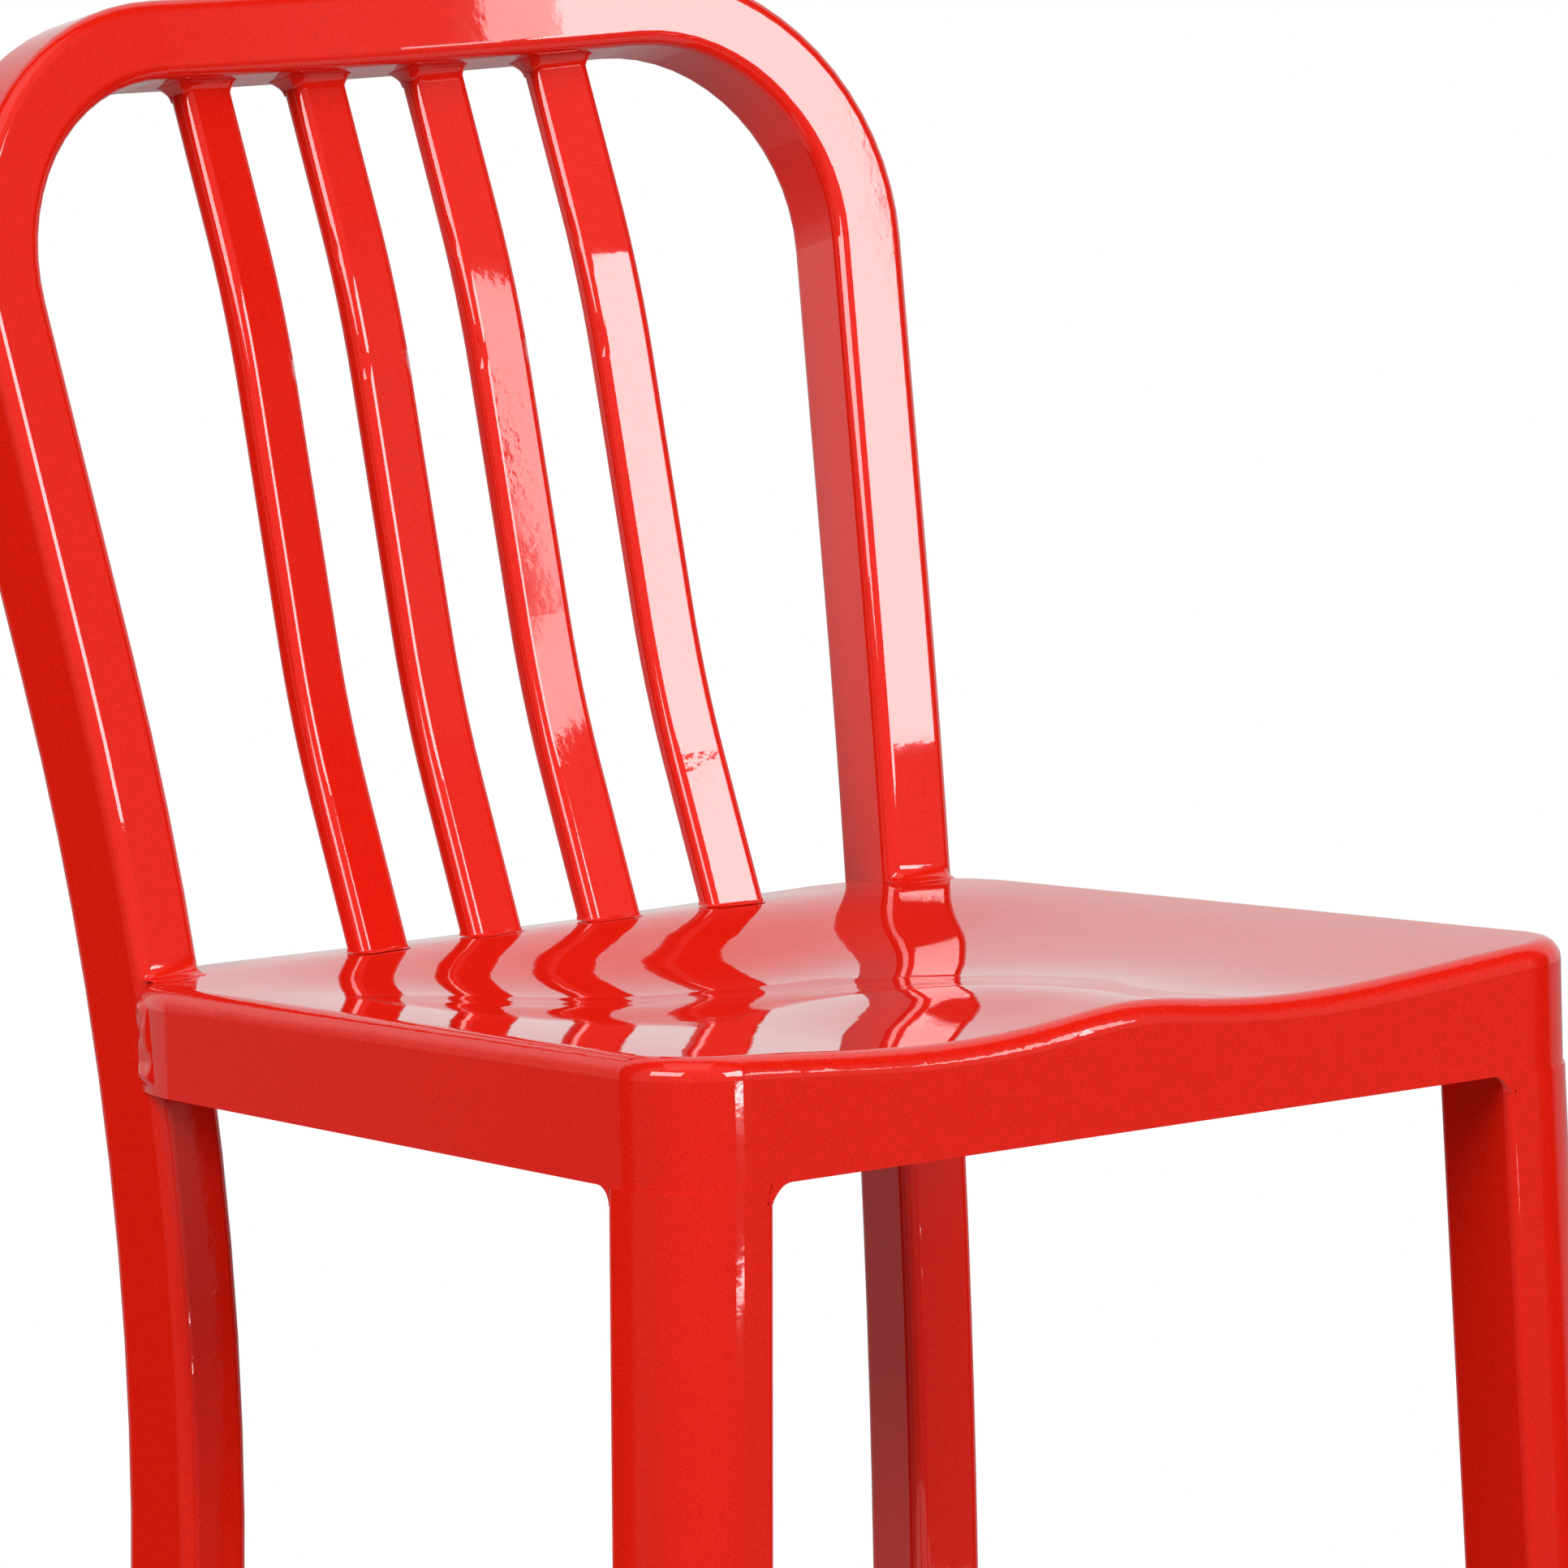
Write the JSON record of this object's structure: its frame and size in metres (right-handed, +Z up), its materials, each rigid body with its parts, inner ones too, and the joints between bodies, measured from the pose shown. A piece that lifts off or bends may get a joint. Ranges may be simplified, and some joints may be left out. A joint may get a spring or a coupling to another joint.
{
  "type": "bar stool",
  "caption": "Glossy red metal bar stool with a bent-tube back hoop, upright slats, a dished stamped seat, tapered front legs, foot rails and floor glides.",
  "frame": {"origin": "on the floor, below the middle of the stool's bounding box", "axes": "+Z up, -Y towards the front of the seat, +X to the right of someone facing the stool's front"},
  "size_m": [0.42, 0.4286, 1.0736],
  "materials": {
    "red_enamel": "gloss",
    "glide_rubber": "matte"
  },
  "bodies": {
    "root": {"seat_pan": "red_enamel", "back_hoop": "red_enamel", "back_slat_1": "red_enamel", "back_slat_2": "red_enamel", "back_slat_3": "red_enamel", "back_slat_4": "red_enamel", "front_leg_left": "red_enamel", "front_leg_right": "red_enamel", "slat_top_welds": "red_enamel", "slat_foot_welds": "red_enamel", "upright_welds": "red_enamel", "leg_fillets": "red_enamel", "foot_rail_front": "red_enamel", "foot_rail_rear": "red_enamel", "foot_rail_left": "red_enamel", "foot_rail_right": "red_enamel", "foot_rail_welds": "red_enamel", "glide_front_left": "glide_rubber", "glide_front_right": "glide_rubber", "glide_rear_left": "glide_rubber", "glide_rear_right": "glide_rubber"}
  },
  "joints": []
}
